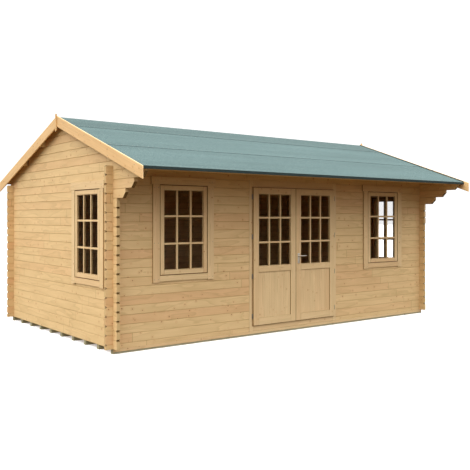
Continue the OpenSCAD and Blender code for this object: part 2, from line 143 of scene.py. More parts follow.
def wood(name, pale, ruddy, knot, source, joint=None, seam_shade_level=0.7, edge_level=0.86,
         bevel_shade_level=0.45, knots=1.0, rough=0.55, ring=0.011, even=3.0):
    """Softwood with yearly rings, fibres and knots. The rings are drawn about three times as coarse as
    real ones, because finer ones would not show. joint darkens the seam between two logs of that height
    to seam_shade_level, as painted shade in the groove. Ends or narrow faces come out at edge_level: on the
    ends of logs and boards that is their darker end grain, on the long narrow faces of boards it is
    painted shade, or a painted highlight where edge_level is over 1. The bevels on log ends are darkened
    to bevel_shade_level as painted shade in their notches. The higher even is, the fewer boards are ruddy."""
    made, tree = blank(name)
    grain, tone, ends = source(tree)
    knots_a_metre, knot_reach = 6.3, 0.08
    heart_wanders, heart_at = (0.0, 0.09, 0.07), (0.0, -0.045, 0.03)
    fibre_scale = (4.0, 170.0, 170.0)     # a fibre is about 250 mm long and 6 mm wide
    cloud_scale = (1.6, 7.0, 7.0)         # a cloud is about 600 mm long and 140 mm wide
    ring_dark, fibre_dark, cloud_dark, brightest = -0.13, 0.16, 0.22, 1.05
    ruddiest, knot_hold, halo_warmth = 0.5, 0.72, 0.28
    seam_start, seam_full = 0.007, 0.001  # from a joint: where its dark line starts, and where it is full
    butt_shade_level = 0.72

    # Knots run square through the wood, so they are laid out along and across the face
    cells = put(tree, "TexVoronoi", {"Vector": grain, "Scale": knots_a_metre}, voronoi_dimensions="2D")
    size = put(tree, "SeparateColor", {0: cells.outputs["Color"]}).outputs[0]
    reach = put(tree, "MapRange", {0: size, 1: 0.25, 2: 1.0, 3: 0.0, 4: knot_reach * knots}).outputs[0]
    off = put(tree, "Math", {0: cells.outputs["Distance"], 1: reach}, operation="SUBTRACT").outputs[0]
    core = put(tree, "MapRange", {0: off, 1: -0.03, 2: 0.012, 3: 1.0, 4: 0.0},
               interpolation_type="SMOOTHSTEP").outputs[0]
    halo = put(tree, "MapRange", {0: off, 1: 0.0, 2: 0.16, 3: 1.0, 4: 0.0},
               interpolation_type="SMOOTHSTEP").outputs[0]

    # Rings round a heart that lies behind the face and wanders along the log
    long = put(tree, "VectorMath", {0: grain, 1: (0.8, 5.0, 5.0)}, operation="MULTIPLY").outputs[0]
    drift = put(tree, "TexNoise", {"Vector": long, "Scale": 1.0, "Detail": 2.0}).outputs["Color"]
    bent = put(tree, "VectorMath", {0: drift, 1: heart_wanders, 2: grain},
               operation="MULTIPLY_ADD").outputs[0]
    heart = put(tree, "VectorMath", {0: bent, 1: (0.0, 1.0, 1.0), 2: heart_at},
                operation="MULTIPLY_ADD").outputs[0]
    radius = put(tree, "VectorMath", {0: heart}, operation="LENGTH").outputs["Value"]
    swollen = put(tree, "Math", {0: halo, 1: 0.012, 2: radius}, operation="MULTIPLY_ADD").outputs[0]
    turns = put(tree, "Math", {0: swollen, 1: ring}, operation="DIVIDE").outputs[0]
    year = put(tree, "Math", {0: turns}, operation="FRACT").outputs[0]
    late = put(tree, "ValToRGB", {0: year})
    late.color_ramp.elements[0].color = (0.0, 0.0, 0.0, 1.0)
    late.color_ramp.elements[1].color = (0.0, 0.0, 0.0, 1.0)
    late.color_ramp.elements.new(0.72).color = (0.4, 0.4, 0.4, 1.0)
    late.color_ramp.elements.new(0.93).color = (1.0, 1.0, 1.0, 1.0)

    # Fibres, fine across and long down the grain, and slow clouds of colour
    drawn = put(tree, "VectorMath", {0: grain, 1: fibre_scale}, operation="MULTIPLY").outputs[0]
    fibre = put(tree, "TexNoise", {"Vector": drawn, "Scale": 1.0, "Detail": 3.0}).outputs["Fac"]
    cloud = put(tree, "VectorMath", {0: grain, 1: cloud_scale}, operation="MULTIPLY").outputs[0]
    patch = put(tree, "TexNoise", {"Vector": cloud, "Scale": 1.0, "Detail": 2.0}).outputs["Fac"]

    hue = put(tree, "Math", {0: tone, 1: even}, operation="POWER").outputs[0]
    hue = put(tree, "Math", {0: hue, 1: ruddiest}, operation="MULTIPLY").outputs[0]
    body = put(tree, "Mix", {0: hue, MIX_A: paint(pale), MIX_B: paint(ruddy)}, data_type="RGBA")
    level = put(tree, "Math", {0: late.outputs[0], 1: ring_dark, 2: brightest},
                operation="MULTIPLY_ADD").outputs[0]
    level = put(tree, "Math", {0: fibre, 1: fibre_dark, 2: level}, operation="MULTIPLY_ADD").outputs[0]
    level = put(tree, "Math", {0: patch, 1: cloud_dark, 2: level}, operation="MULTIPLY_ADD").outputs[0]
    level = put(tree, "Math", {0: level, 1: (fibre_dark + cloud_dark) / 2}, operation="SUBTRACT").outputs[0]
    # Painted shade: the groove along a joint between two logs, and the butt joint between two lengths, are
    # darkened
    if joint:
        run, aside, _ = put(tree, "SeparateXYZ", {0: grain}).outputs
        side = put(tree, "Math", {0: aside}, operation="ABSOLUTE").outputs[0]
        seam = put(tree, "MapRange", {0: side, 1: joint / 2 - seam_start, 2: joint / 2 - seam_full, 3: 1.0,
                                      4: seam_shade_level})
        level = put(tree, "Math", {0: level, 1: seam.outputs[0]}, operation="MULTIPLY").outputs[0]
        butt = put(tree, "Math", {0: run, 1: LENGTH / 2}, operation="PINGPONG").outputs[0]
        butt = put(tree, "MapRange", {0: butt, 1: 0.002, 2: 0.005, 3: butt_shade_level, 4: 1.0}).outputs[0]
        level = put(tree, "Math", {0: level, 1: butt}, operation="MULTIPLY").outputs[0]
    # Painted shade on the bevels of log ends and on the long narrow faces of boards, and a painted highlight
    # on them where edge_level is over 1; the square ends keep their darker end grain
    tilted = put(tree, "MapRange", {0: ends, 1: 0.25, 2: 0.45, 3: 1.0, 4: bevel_shade_level}).outputs[0]
    square = put(tree, "MapRange", {0: ends, 1: 0.8, 2: 0.95, 3: 0.0, 4: edge_level - bevel_shade_level})
    cut = put(tree, "Math", {0: tilted, 1: square.outputs[0]}, operation="ADD").outputs[0]
    level = put(tree, "Math", {0: level, 1: cut}, operation="MULTIPLY").outputs[0]

    # What is darker is also warmer, as resin and shade are in pale wood
    green = put(tree, "Math", {0: level, 1: 1.15}, operation="POWER").outputs[0]
    blue = put(tree, "Math", {0: level, 1: 1.5}, operation="POWER").outputs[0]
    share = put(tree, "CombineXYZ", {0: level, 1: green, 2: blue}).outputs[0]
    shaded = put(tree, "VectorMath", {0: body.outputs[MIX_OUT], 1: share}, operation="MULTIPLY").outputs[0]
    warm = put(tree, "Math", {0: halo, 1: halo_warmth}, operation="MULTIPLY").outputs[0]
    ringed = put(tree, "Mix", {0: warm, MIX_A: shaded, MIX_B: paint(ruddy)}, data_type="RGBA")
    hard = put(tree, "Math", {0: core, 1: knot_hold}, operation="MULTIPLY").outputs[0]
    knotted = put(tree, "Mix", {0: hard, MIX_A: ringed.outputs[MIX_OUT], MIX_B: paint(knot)},
                  data_type="RGBA").outputs[MIX_OUT]

    relief = put(tree, "Math", {0: late.outputs[0], 1: 0.5, 2: fibre}, operation="MULTIPLY_ADD").outputs[0]
    relief = put(tree, "Math", {0: core, 1: 0.6, 2: relief}, operation="MULTIPLY_ADD").outputs[0]
    bump = put(tree, "Bump", {"Strength": 0.35, "Distance": 0.0012, "Height": relief}).outputs[0]
    gloss = put(tree, "Math", {0: late.outputs[0], 1: -0.10, 2: rough}, operation="MULTIPLY_ADD").outputs[0]
    skin = put(tree, "BsdfPrincipled", {"Base Color": knotted, "Roughness": gloss, "Normal": bump,
                                        "IOR": 1.45, "Specular IOR Level": 0.25})
    put(tree, "OutputMaterial", {0: skin.outputs[0]})
    return made


def mineral_felt(name, base, light, dark):
    """Roofing felt faced with crushed slate. The grit is drawn at 6 mm, coarser than the real 2 mm,
    so that its speckle shows. Faces that do not look up, where it folds down over the eave and where it
    turns up at the bargeboards, are darkened as painted shade."""
    grit_a_metre, slate_share, fold_shade_level = 170.0, 0.65, 0.30
    made, tree = blank(name)
    place = put(tree, "TexCoord").outputs["Object"]
    grit = put(tree, "TexVoronoi", {"Vector": place, "Scale": grit_a_metre})
    chip = put(tree, "SeparateColor", {0: grit.outputs["Color"]}).outputs[0]
    coarse = put(tree, "TexNoise", {"Vector": place, "Scale": 42.0, "Detail": 3.0}).outputs["Fac"]
    rolled = put(tree, "VectorMath", {0: place, 1: (0.5, 5.0, 5.0)}, operation="MULTIPLY").outputs[0]
    streak = put(tree, "TexNoise", {"Vector": rolled, "Scale": 1.0, "Detail": 3.0}).outputs["Fac"]
    speck = put(tree, "Mix", {0: chip, MIX_A: paint(dark), MIX_B: paint(light)}, data_type="RGBA")
    tint = put(tree, "Mix", {0: slate_share, MIX_A: paint(base), MIX_B: speck.outputs[MIX_OUT]},
               data_type="RGBA")
    level = put(tree, "Math", {0: streak, 1: 0.42, 2: 0.54}, operation="MULTIPLY_ADD").outputs[0]
    level = put(tree, "Math", {0: coarse, 1: 0.50, 2: level}, operation="MULTIPLY_ADD").outputs[0]
    shaded = put(tree, "VectorMath", {0: tint.outputs[MIX_OUT], "Scale": level},
                 operation="SCALE").outputs[0]
    # Painted shade: faces of the felt that do not look up are darkened
    facing = put(tree, "SeparateXYZ", {0: put(tree, "TexCoord").outputs["Normal"]}).outputs[2]
    fold = put(tree, "MapRange", {0: facing, 1: 0.2, 2: 0.6, 3: fold_shade_level, 4: 1.0}).outputs[0]
    shaded = put(tree, "VectorMath", {0: shaded, "Scale": fold}, operation="SCALE").outputs[0]
    relief = put(tree, "Math", {0: grit.outputs["Distance"], 1: 2.0, 2: coarse},
                 operation="MULTIPLY_ADD").outputs[0]
    bump = put(tree, "Bump", {"Strength": 0.6, "Distance": 0.0015, "Height": relief}).outputs[0]
    rough = put(tree, "MapRange", {0: chip, 1: 0.0, 2: 1.0, 3: 0.82, 4: 0.98}).outputs[0]
    skin = put(tree, "BsdfPrincipled", {"Base Color": shaded, "Roughness": rough, "Normal": bump,
                                        "IOR": 1.5, "Specular IOR Level": 0.2})
    put(tree, "OutputMaterial", {0: skin.outputs[0]})
    return made


def float_glass(name):
    """Clear window glass: most of the light goes straight through. It throws a full shadow, which keeps
    a room with no lamp as dark as one looks by day."""
    made, tree = blank(name)
    place = put(tree, "TexCoord").outputs["Object"]
    wave = put(tree, "TexNoise", {"Vector": place, "Scale": 2.5, "Detail": 1.0}).outputs["Fac"]
    bump = put(tree, "Bump", {"Strength": 0.1, "Distance": 0.001, "Height": wave}).outputs[0]
    smear = put(tree, "MapRange", {0: wave, 1: 0.3, 2: 0.7, 3: 0.02, 4: 0.06}).outputs[0]
    skin = put(tree, "BsdfPrincipled", {"Base Color": paint("#1C120A"), "Roughness": smear, "Normal": bump,
                                        "IOR": 1.2, "Specular IOR Level": 0.3, "Alpha": 0.07})
    put(tree, "OutputMaterial", {0: skin.outputs[0]})
    made.use_transparent_shadow = False
    return made


def metal(name, colour, rough, brush):
    """Steel, plated or brushed: brush is the scale of its fine marks, which vary its gloss."""
    made, tree = blank(name)
    place = put(tree, "TexCoord").outputs["Object"]
    marks = put(tree, "TexNoise", {"Vector": place, "Scale": brush, "Detail": 4.0}).outputs["Fac"]
    gloss = put(tree, "Math", {0: marks, 1: 0.2, 2: rough}, operation="MULTIPLY_ADD").outputs[0]
    tint = put(tree, "MapRange", {0: marks, 1: 0.3, 2: 0.7, 3: 0.85, 4: 1.1}).outputs[0]
    shade = put(tree, "VectorMath", {0: paint(colour)[:3], "Scale": tint}, operation="SCALE").outputs[0]
    bump = put(tree, "Bump", {"Strength": 0.15, "Distance": 0.0004, "Height": marks}).outputs[0]
    skin = put(tree, "BsdfPrincipled", {"Base Color": shade, "Roughness": gloss, "Normal": bump,
                                        "Metallic": 1.0})
    put(tree, "OutputMaterial", {0: skin.outputs[0]})
    return made


X, Y, Z = 0, 1, 2
# Planed spruce logs: cream to honey, a few of them ruddy, with small brown knots
LONG_LOGS = wood("planed_spruce_long_logs", "#E1C18E", "#DBAA7C", "#9C6436",
                 along_logs((X, Z, Y), LOG_Z + LOG / 2, LOG, 3.0), joint=LOG, seam_shade_level=0.8,
                 knots=0.85, even=3.5, bevel_shade_level=0.3)
GABLE_LOGS = wood("planed_spruce_gable_logs", "#E1C18E", "#DBAA7C", "#9C6436",
                  along_logs((Y, Z, X), LOG_Z, LOG, 41.0), joint=LOG, seam_shade_level=0.74,
                  knots=0.85, even=3.5, bevel_shade_level=0.3)
# Planed spruce joinery boards: the same wood in narrower, cleaner pieces; their long narrow faces are
# darkened as painted shade, which draws a dark line round each board, and their cut ends show darker end
# grain
JOINERY = wood("planed_spruce_joinery", "#E3C596", "#DAB080", "#94592C", along_boards,
               edge_level=0.5, knots=0.7)
# Spruce coloured dark red brown as painted shade: it shows as a fine dark line round sashes and door leaves,
# where the gaps between them and their frames would be in shadow
SHADE_LINE_WOOD = wood("dark_spruce_linings_painted_shade", "#8A5228", "#7A4420", "#4A2814", along_boards, knots=0.3)
# Planed spruce fascia boards: warmer and slightly orange, with their narrow faces made brighter as a painted
# highlight
FASCIA = wood("planed_spruce_fascia", "#E4BE89", "#DFA86C", "#8A5628", along_boards,
              edge_level=1.3, knots=0.7)
# Rough sawn roof boards, browner than planed wood; part of that brown is painted shade for the soffit under
# the eaves
ROOF_WOOD = wood("sawn_spruce_roof_boards", "#D6A468", "#BC8850", "#5E3618", along_boards, rough=0.7)
# Planed spruce purlins: the palest wood, made paler than the logs as painted light, because the roof keeps
# them in shade
PURLIN_WOOD = wood("planed_spruce_purlins", "#F4DCAE", "#EBC68E", "#6B4020",
                   along_logs((X, Y, Z), -0.335, 0.67, 7.0), edge_level=1.0, rough=0.6)
# Planed spruce floor boards: honey coloured, a little darker than the walls
FLOOR_WOOD = wood("planed_spruce_floor", "#DDB67E", "#CFA066", "#6B4020", along_boards)
# Pressure treated softwood: the salts leave it grey green
BEARER_WOOD = wood("treated_softwood_bearers", "#A9A488", "#938B66", "#4E4630",
                   along_logs((X, Y, Z), FRONT_Y - 0.16, 0.38, 5.0), rough=0.75)
# Planed spruce finials: clean short boards with dark cut edges
FINIAL_WOOD = wood("planed_spruce_finials", "#DFBC86", "#D6A468", "#8A5628",
                   along_logs((Z, Y, X), -0.5, 1.0, 2.0), edge_level=0.6, knots=0.3)
# Green mineral felt: its slate gives a soft speckled blue green, a shade darker in the ridge strip
FELT = mineral_felt("green_mineral_felt", "#57706F", "#748684", "#354F50")
RIDGE_FELT = mineral_felt("green_mineral_ridge_felt", "#536A69", "#6D7E7C", "#324B4B")
# Clear float glass: no colour, and a smooth face that mirrors very little
GLASS = float_glass("clear_float_glass")
# Zinc plated steel: dull grey, faintly mottled
ZINC = metal("zinc_plated_steel", "#8E8C86", 0.42, 90.0)
# Satin steel: brushed and bright
SATIN = metal("satin_steel", "#ECE8E2", 0.24, 400.0)


def dress(material, *nodes):
    """Gives a material to nodes of the frame."""
    for name in nodes:
        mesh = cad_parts[name].data
        mesh.materials.clear()
        mesh.materials.append(material)


# ---------------------------------------------------------------- modelling

def only(*pieces):
    """Selects these pieces and nothing else; the first becomes active."""
    bpy.ops.object.select_all(action="DESELECT")
    for piece in pieces:
        piece.select_set(True)
    bpy.context.view_layer.objects.active = pieces[0]


def lay_grain(piece, lean=0.0):
    """Leaves on each corner its place along, across and through the board, one tone a board, and a mark
    on its narrow faces and eased edges. lean is the fall of a sloping board, which its grain follows."""
    mesh = piece.data
    flat = [Vector((v.co.x, v.co.y, v.co.z + abs(v.co.y) * lean)) for v in mesh.vertices]
    low = [min(p[i] for p in flat) for i in range(3)]
    high = [max(p[i] for p in flat) for i in range(3)]
    order = sorted(range(3), key=lambda i: low[i] - high[i])
    middle = [(low[i] + high[i]) / 2 for i in range(3)]
    start, aside = random.uniform(0, 60), random.uniform(-0.03, 0.03)
    mesh.attributes.new("grain", "FLOAT_VECTOR", "POINT")
    mesh.attributes.new("tone", "FLOAT", "POINT")
    mesh.attributes.new("rim", "FLOAT", "FACE")
    grain, tone, rim = [mesh.attributes[key] for key in ("grain", "tone", "rim")]
    shade = random.random()
    for i, place in enumerate(flat):
        run, wide, deep = [place[a] - middle[a] for a in order]
        grain.data[i].vector = (run + start, wide + aside, deep)
        tone.data[i].value = shade
    for i, face in enumerate(mesh.polygons):
        rim.data[i].value = 0.0 if abs(face.normal[order[2]]) > 0.9 else 1.0


def shape(add, **settings):
    """Adds a primitive, alone in the selection, with its place and turn in its mesh."""
    bpy.ops.object.select_all(action="DESELECT")
    add(**settings)
    bpy.ops.object.transform_apply(location=True, rotation=True, scale=True)
    return bpy.context.object


def ease(piece, width, segments=2):
    """Breaks every edge of a piece."""
    only(piece)
    cut = piece.modifiers.new("eased edges", "BEVEL")
    cut.width = width
    cut.segments = segments
    cut.limit_method = "ANGLE"
    bpy.ops.object.modifier_apply(modifier=cut.name)


def block(low, high):
    """A cuboid between two corners."""
    low, high = Vector(low), Vector(high)
    return shape(bpy.ops.mesh.primitive_cube_add, size=1, location=(low + high) / 2, scale=high - low)


def board(low, high, edge=EASE):
    """A planed board between two corners, its grain down its longest side."""
    made = block([min(a, b) for a, b in zip(low, high)], [max(a, b) for a, b in zip(low, high)])
    ease(made, edge)
    lay_grain(made)
    return made


def slope_board(x0, x1, side, run, top, depth, edge=EASE):
    """A board that lies down the roof's slope, from the ridge to a run out from it. top is its height at
    the ridge."""
    made = block((x0, min(0, side * run), top - depth), (x1, max(0, side * run), top))
    bpy.ops.object.mode_set(mode="EDIT")
    bpy.ops.mesh.select_all(action="DESELECT")
    bpy.ops.object.mode_set(mode="OBJECT")
    for corner in made.data.vertices:
        corner.select = abs(corner.co.y) > run / 2
    bpy.ops.object.mode_set(mode="EDIT")
    bpy.ops.transform.translate(value=(0, 0, -run * SLOPE))
    bpy.ops.object.mode_set(mode="OBJECT")
    ease(made, edge)
    lay_grain(made, SLOPE)
    return made


def gather(name, parts, body, slot, material, *stands_for):
    """Joins parts into one piece that rides on a body and stands for nodes of the frame."""
    only(*parts)
    if len(parts) > 1:
        bpy.ops.object.join()
    piece = bpy.context.view_layer.objects.active
    piece.name = piece.data.name = name
    piece.data.materials.clear()
    piece.data.materials.append(material)
    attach(piece, body)
    if stands_for:
        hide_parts(*stands_for)
    return piece


def copy_of(piece, matrix):
    """A copy with its own mesh, moved by a matrix."""
    made = piece.copy()
    made.data = piece.data.copy()
    made.data.transform(matrix)
    bpy.context.scene.collection.objects.link(made)
    return made


def row(piece, count, step):
    """Repeats a piece count times, a step apart."""
    only(piece)
    array = piece.modifiers.new("row", "ARRAY")
    array.count = count
    array.use_relative_offset = False
    array.use_constant_offset = True
    array.constant_offset_displace = step
    bpy.ops.object.modifier_apply(modifier=array.name)
    return piece


def nail(place, direction, radius=0.005, height=0.0015):
    """A flat round nail head standing on a face that looks along direction."""
    turn = Vector(direction).to_track_quat("Z", "Y").to_euler()
    made = shape(bpy.ops.mesh.primitive_cylinder_add, vertices=10, radius=radius, depth=height,
                 location=place, rotation=turn)
    bpy.ops.object.mode_set(mode="EDIT")
    bpy.ops.mesh.select_all(action="DESELECT")
    bpy.ops.object.mode_set(mode="OBJECT")
    for face in made.data.polygons:
        face.select = face.normal.dot(Vector(direction)) > 0.9
    bpy.ops.object.mode_set(mode="EDIT")
    bpy.ops.mesh.inset(thickness=radius * 0.3, depth=height * 0.4)
    bpy.ops.object.mode_set(mode="OBJECT")
    return made


# ---------------------------------------------------------------- windows

def glazing_bars(low, high, front, glass_y0, glass_y1, back):
    """Bars on both faces of a pane, for nine lights, with a bead round the edge."""
    eased, bead, bead_eased = 0.004, 0.008, 0.003
    parts = []
    for y0, y1 in ((front, glass_y0), (glass_y1, back)):
        for k in (1, 2):
            x = low.x + (high.x - low.x + GLAZING_BAR) * k / 3 - GLAZING_BAR
            parts.append(board((x, y0, low.z), (x + GLAZING_BAR, y1, high.z), eased))
        wide = (high.x - low.x - 2 * GLAZING_BAR) / 3
        for k in (1, 2):
            z = low.z + (high.z - low.z + GLAZING_BAR) * k / 3 - GLAZING_BAR
            for i in range(3):
                x = low.x + i * (wide + GLAZING_BAR)
                parts.append(board((x, y0, z), (x + wide, y1, z + GLAZING_BAR), eased))
        mid = (y0 + y1) / 2
        pane = y1 if y0 == front else y0
        for x in (low.x, high.x - bead):
            parts.append(board((x, mid, low.z), (x + bead, pane, high.z), bead_eased))
        for z in (low.z, high.z - bead):
            parts.append(board((low.x, mid, z), (high.x, pane, z + bead), bead_eased))
    return parts


def opening_corners(low, high):
    """The lowest and highest corner, as x and z, of the opening that a window's frame goes round."""
    side = CASING_EAR + CASING
    return (low.x + side, low.z + CASING_DROP), (high.x - side, high.z - CASING)


def casing_parts(low, high):
    """The boards round a window. low and high are the corners of the window's frame."""
    (x0, z0), (x1, z1) = opening_corners(low, high)
    face, wall, lap = FRONT_Y - CASING_T, FRONT_Y, CASING_LAP
    return [board((x0 - CASING, face, low.z), (x0 + lap, wall, z1 - lap)),
            board((x1 - lap, face, low.z), (x1 + CASING, wall, z1 - lap)),
            board((low.x, low.y, z1 - lap), (high.x, wall, high.z), BOLD_EASE),
            board((x0 + lap, face, z0 + lap - APRON), (x1 - lap, wall, z0 + lap))]


def lining_parts(low, high):
    """The boards that line a window opening. low and high are the corners of the window's frame."""
    (x0, z0), (x1, z1) = opening_corners(low, high)
    return [board((x0, FRONT_Y, z0), (x0 + LINING, high.y, z1)),
            board((x1 - LINING, FRONT_Y, z0), (x1, high.y, z1)),
            board((x0 + LINING, FRONT_Y, z0), (x1 - LINING, high.y, z0 + LINING)),
            board((x0 + LINING, FRONT_Y, z1 - LINING), (x1 - LINING, high.y, z1))]


def casing_nails(low, high):
    """Pairs of nails at the ends of the side boards and a little below their middle, and in the head."""
    outwards, head_r = (0, -1, 0), 0.004
    from_end, from_edge, below_middle, head_edge = 0.04, 0.02, 0.5, 0.03
    parts = []
    for x in (low.x + CASING_EAR, high.x - CASING_EAR - CASING):
        for z in (low.z + from_end, low.z + below_middle, high.z - CASING - from_end):
            for dx in (from_edge, CASING - from_edge):
                parts.append(nail((x + dx, FRONT_Y - CASING_T, z), outwards, head_r))
        for dx in (head_edge, CASING - head_edge):
            parts.append(nail((x + dx, low.y, high.z - CASING / 2), outwards, head_r))
    return parts


def sash_parts(sash, glass):
    """Stiles and rails of a sash, with its glazing bars."""
    low, high = sash
    g0, g1 = glass
    parts = [board((low.x, low.y, low.z), (g0.x, high.y, high.z), BOLD_EASE),
             board((g1.x, low.y, low.z), (high.x, high.y, high.z), BOLD_EASE),
             board((g0.x, low.y, low.z), (g1.x, high.y, g0.z), BOLD_EASE),
             board((g0.x, low.y, g1.z), (g1.x, high.y, high.z), BOLD_EASE)]
    return parts + glazing_bars(g0, g1, low.y + BAR_BACK, g0.y, g1.y, high.y - BAR_BACK)


def restain(piece):
    """Gives each board of a copied piece another stretch of grain and another tone."""
    grain = piece.data.attributes["grain"].data
    tone = piece.data.attributes["tone"].data
    shift, fresh = {}, {}
    for i in range(len(piece.data.vertices)):
        key = round(tone[i].value, 5)
        if key not in shift:
            shift[key], fresh[key] = random.uniform(0, 60), random.random()
        old = grain[i].vector
        grain[i].vector = (old[0] + shift[key], old[1], old[2])
        tone[i].value = fresh[key]


def build_windows():
    """One window is made at the front left, then copied to the other three openings."""
    first = "front_left_window_"
    low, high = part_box(first + "frame")
    start = Vector(((low.x + high.x) / 2, FRONT_Y, low.z))
    casing = gather(first + "casing", casing_parts(low, high), "cabin", "window_wood", JOINERY,
                    first + "frame")
    sash = gather(first + "joinery", sash_parts(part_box(first + "sash"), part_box(first + "glass")),
                  "cabin", "window_wood", JOINERY, first + "sash")
    nails = gather(first + "nails", casing_nails(low, high), "cabin", "hinge_steel", ZINC)
    lining = gather(first + "lining", lining_parts(low, high), "cabin", "window_wood", SHADE_LINE_WOOD,
                    first + "frame")
    for name, turn in (("front_right_window_", 0), ("left_gable_window_", -90), ("right_gable_window_", 90)):
        a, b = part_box(name + "frame")
        if turn:
            end = Vector((math.copysign(GABLE_X, a.x), (a.y + b.y) / 2, a.z))
        else:
            end = Vector(((a.x + b.x) / 2, FRONT_Y, a.z))
        move = Matrix.Translation(end) @ Matrix.Rotation(math.radians(turn), 4, "Z")
        move = move @ Matrix.Translation(-start)
        for piece, last, slot, material_here, stands in (
                (casing, "casing", "window_wood", JOINERY, [name + "frame"]),
                (sash, "joinery", "window_wood", JOINERY, [name + "sash"]),
                (lining, "lining", "window_wood", SHADE_LINE_WOOD, [name + "frame"]),
                (nails, "nails", "hinge_steel", ZINC, [])):
            made = copy_of(piece, move)
            if material_here is not ZINC:
                restain(made)
            gather(name + last, [made], "cabin", slot, material_here, *stands)
    dress(GLASS, *[w + "_window_glass" for w in ("front_left", "front_right", "left_gable", "right_gable")])


# ---------------------------------------------------------------- doors

def leaf_parts(side, leaf, panel, glass):
    """Stiles and rails of a leaf in two layers, the outer one lapping over the frame."""
    eased = 0.0025
    low, high = leaf
    p0, p1 = panel
    g0, g1 = glass
    outer, inner = low.y + LIP, high.y
    parts = []
    for y0, y1, back in ((low.y, outer, 0.0), (outer, inner, REBATE)):
        x0 = low.x + (back if side < 0 else 0)
        x1 = high.x - (back if side > 0 else 0)
        z0, z1 = low.z + back, high.z - back
        parts.append(board((x0, y0, z0), (g0.x, y1, z1), eased))
        parts.append(board((g1.x, y0, z0), (x1, y1, z1), eased))
        for za, zb in ((z0, p0.z), (p1.z, g0.z), (g1.z, z1)):
            parts.append(board((g0.x, y0, za), (g1.x, y1, zb), eased))
    return parts + glazing_bars(g0, g1, low.y + BAR_BACK, g0.y, g1.y, high.y - BAR_BACK)


def panel_parts(panel, count=6, joint=0.0012):
    """Upright boards of the lower panel, with a fine V joint between two."""
    low, high = panel
    wide = (high.x - low.x) / count
    return [board((low.x + i * wide, low.y, low.z), (low.x + (i + 1) * wide, high.y, high.z), joint)
            for i in range(count)]


def strip_parts(edge_x, z0, z1, face, wide=0.007, thick=0.0008, gap=0.002):
    """Thin dark strips on the frame's face, all round the pair of leaves: painted shade for the gap round
    them.
    """
    x0, x1 = edge_x + gap, edge_x + gap + wide
    y0 = face - thick
    edge = thick / 4
    return [board((-x1, y0, z0 - gap), (-x0, face, z1 + gap), edge),
            board((x0, y0, z0 - gap), (x1, face, z1 + gap), edge),
            board((-x1, y0, z1 + gap), (x1, face, z1 + gap + wide), edge),
            board((-x1, y0, z0 - gap - wide), (x1, face, z0 - gap), edge)]


def build_doors():
    """Both leaves with their boarded panels, and the frame that they hang in."""
    sill_eased = 0.004
    for side, name in ((-1, "left"), (1, "right")):
        door = name + "_door"
        panel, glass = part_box(door + "_panel"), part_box(door + "_glass")
        gather(door + "_joinery", leaf_parts(side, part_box(door), panel, glass), name + "_leaf",
               "door_wood", JOINERY, door)
        gather(door + "_panel_boards", panel_parts(panel), name + "_leaf", "door_wood", JOINERY,
               door + "_panel")
    low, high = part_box("door_frame")
    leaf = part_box("right_door")
    clear_x = leaf[1].x - FRAME_LAP
    clear_low, clear_top = leaf[0].z + FRAME_LAP, leaf[1].z - FRAME_LAP
    parts = [board((low.x, low.y, low.z), (-clear_x, high.y, high.z)),
             board((clear_x, low.y, low.z), (high.x, high.y, high.z)),
             board((-clear_x, low.y, clear_top), (clear_x, high.y, high.z)),
             board((-clear_x, low.y, low.z), (clear_x, high.y, clear_low), sill_eased)]
    gather("door_frame_boards", parts, "cabin", "door_wood", JOINERY, "door_frame")
    # Painted shade: dark strips round the leaves where the gap would be in shadow
    gather("door_painted_shade_strips", strip_parts(leaf[1].x, leaf[0].z, leaf[1].z, low.y), "cabin", "door_wood",
           SHADE_LINE_WOOD)
    dress(GLASS, "left_door_glass", "right_door_glass")
    dress(ZINC, "frame_hinge_pins", "left_door_knuckles", "right_door_knuckles")


def hinge_tips():
    """Turned caps on the ends of the hinge barrels: above the leaf's halves, below the frame's."""
    barrel_r, cap_r, cap_out = 0.008, 0.006, 0.001
    beyond = 0.05                         # with no other level this near beyond it, a level is an end
    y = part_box("left_door_knuckles")[0].y + barrel_r
    for body, node, up in (("left_leaf", "left_door_knuckles", 1), ("right_leaf", "right_door_knuckles", 1),
                           ("cabin", "frame_hinge_pins", -1)):
        parts = []
        for side in (-1, 1):
            barrels = [v.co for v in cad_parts[node].data.vertices if v.co.x * side > 0]
            if not barrels:
                continue
            x = side * (max(abs(place.x) for place in barrels) - barrel_r)
            heights = sorted({round(place.z, 4) for place in barrels})
            levels = [z for z in heights if not any(0 < (w - z) * up < beyond for w in heights)]
            for z in levels:
                parts.append(shape(bpy.ops.mesh.primitive_uv_sphere_add, segments=16, ring_count=8,
                                   radius=cap_r, location=(x, y, z + up * cap_out)))
                bpy.ops.object.shade_smooth()
        gather(node + "_tips", parts, body, "hinge_steel", ZINC)


